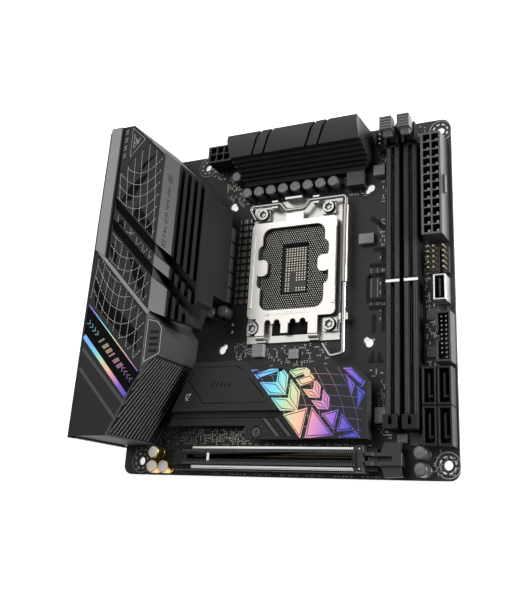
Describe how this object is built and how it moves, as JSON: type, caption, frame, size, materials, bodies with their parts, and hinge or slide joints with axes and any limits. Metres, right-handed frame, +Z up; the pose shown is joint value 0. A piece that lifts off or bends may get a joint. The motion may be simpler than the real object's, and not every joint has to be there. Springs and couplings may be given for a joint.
{
  "type": "motherboard",
  "caption": "Small square computer motherboard with a lever-locked processor socket, latched memory and expansion slots, covered rear ports and black heatsinks.",
  "frame": {"origin": "centre of the square board on its underside, the plane that the case standoffs touch", "axes": "+X from the rear connectors to the front edge, +Y from the expansion slot to the far edge, +Z up from the board to the component side"},
  "size_m": [0.182, 0.1734, 0.0463],
  "materials": {
    "board": "matte black solder mask",
    "solder": "bright solder",
    "black_resin": "moulded, fine grain",
    "cover_resin": "satin black with printed lines",
    "white_resin": "moulded white",
    "contact_gold": "gold-flashed springs",
    "nickel_steel": "nickel plated, pressed",
    "screw_steel": "machined",
    "black_steel": "black coated",
    "black_aluminium": "black anodised, fine brushed",
    "port_steel": "tinned sheet",
    "pin_metal": "tin and gold flashed",
    "gold_can": "gold lacquered can",
    "choke_grey": "moulded iron powder",
    "chip_resin": "moulded package",
    "pad_silicone": "soft silicone"
  },
  "bodies": {
    "board": {"pcb": "board", "solder_joints": "solder", "socket_body": "black_resin", "socket_contacts": "contact_gold", "ilm_frame": "nickel_steel", "ilm_screws": "screw_steel", "ilm_backplate": "black_steel", "memory_slot_a": "black_resin", "memory_slot_b": "black_resin", "expansion_slot": "black_resin", "slot_armour": "nickel_steel", "slot_end_block": "black_resin", "main_power_header": "black_resin", "main_power_pins": "pin_metal", "cpu_power_header": "black_resin", "cpu_power_pins": "pin_metal", "power_transistors": "chip_resin", "power_chokes": "choke_grey", "thermal_pads": "pad_silicone", "side_heatsink": "black_aluminium", "far_heatsink": "black_aluminium", "heatsink_screws": "screw_steel", "polymer_capacitors": "black_aluminium", "audio_capacitors": "gold_can", "chipset": "chip_resin", "chipset_spreader": "black_aluminium", "drive_connector": "black_resin", "drive_standoff": "pin_metal", "drive_thermal_pad": "pad_silicone", "drive_heatsink": "black_aluminium", "drive_heatsink_posts": "screw_steel", "drive_heatsink_screw": "screw_steel", "usb_a_ports": "port_steel", "hdmi_port": "port_steel", "display_port": "port_steel", "network_jack": "port_steel", "usb_c_port": "port_steel", "audio_jacks": "black_resin", "wireless_module": "port_steel", "antenna_posts": "gold_can", "button_switch": "black_resin", "rear_shield": "black_steel", "rear_cover": "cover_resin", "coin_cell_holder": "black_resin", "coin_cell": "port_steel", "storage_connectors": "black_resin", "usb_front_header": "black_resin", "usb_c_front_header": "port_steel", "pin_headers": "black_resin", "fan_header": "white_resin", "controller_chips": "chip_resin", "small_inductors": "choke_grey"},
    "load_lever": {"load_lever": "nickel_steel", "lever_sleeve": "nickel_steel"},
    "load_plate": {"load_plate": "nickel_steel"},
    "memory_latch_a": {"memory_latch_a": "black_resin"},
    "memory_latch_b": {"memory_latch_b": "black_resin"},
    "slot_latch": {"slot_latch": "black_resin"},
    "firmware_button": {"firmware_button": "black_resin"},
    "drive_latch": {"drive_latch": "black_resin"}
  },
  "joints": [
    {"name": "load_lever_swing", "type": "hinge", "parent": "board", "child": "load_lever", "pos_m": [0.0053, 0.0485, 0.007], "axis": [-1, 0, 0], "range_deg": [0, 120]},
    {"name": "load_plate_swing", "type": "hinge", "parent": "board", "child": "load_plate", "pos_m": [0.0053, -0.0206, 0.0048], "axis": [1, 0, 0], "range_deg": [0, 110]},
    {"name": "memory_latch_a_swing", "type": "hinge", "parent": "board", "child": "memory_latch_a", "pos_m": [0.0583, 0.0766, 0.0052], "axis": [-1, 0, 0], "range_deg": [0, 38]},
    {"name": "memory_latch_b_swing", "type": "hinge", "parent": "board", "child": "memory_latch_b", "pos_m": [0.067, 0.0766, 0.0052], "axis": [-1, 0, 0], "range_deg": [0, 38]},
    {"name": "slot_latch_swing", "type": "hinge", "parent": "board", "child": "slot_latch", "pos_m": [0.0487, -0.0772, 0.0052], "axis": [0, 1, 0], "range_deg": [0, 12]},
    {"name": "firmware_button_press", "type": "slide", "parent": "board", "child": "firmware_button", "axis": [1, 0, 0], "range_m": [0, 0.0006], "stiffness_N_per_m": 300},
    {"name": "drive_latch_turn", "type": "hinge", "parent": "board", "child": "drive_latch", "pos_m": [0.0426, -0.045, 0.0046], "axis": [0, 0, 1], "range_deg": [0, 90]}
  ]
}
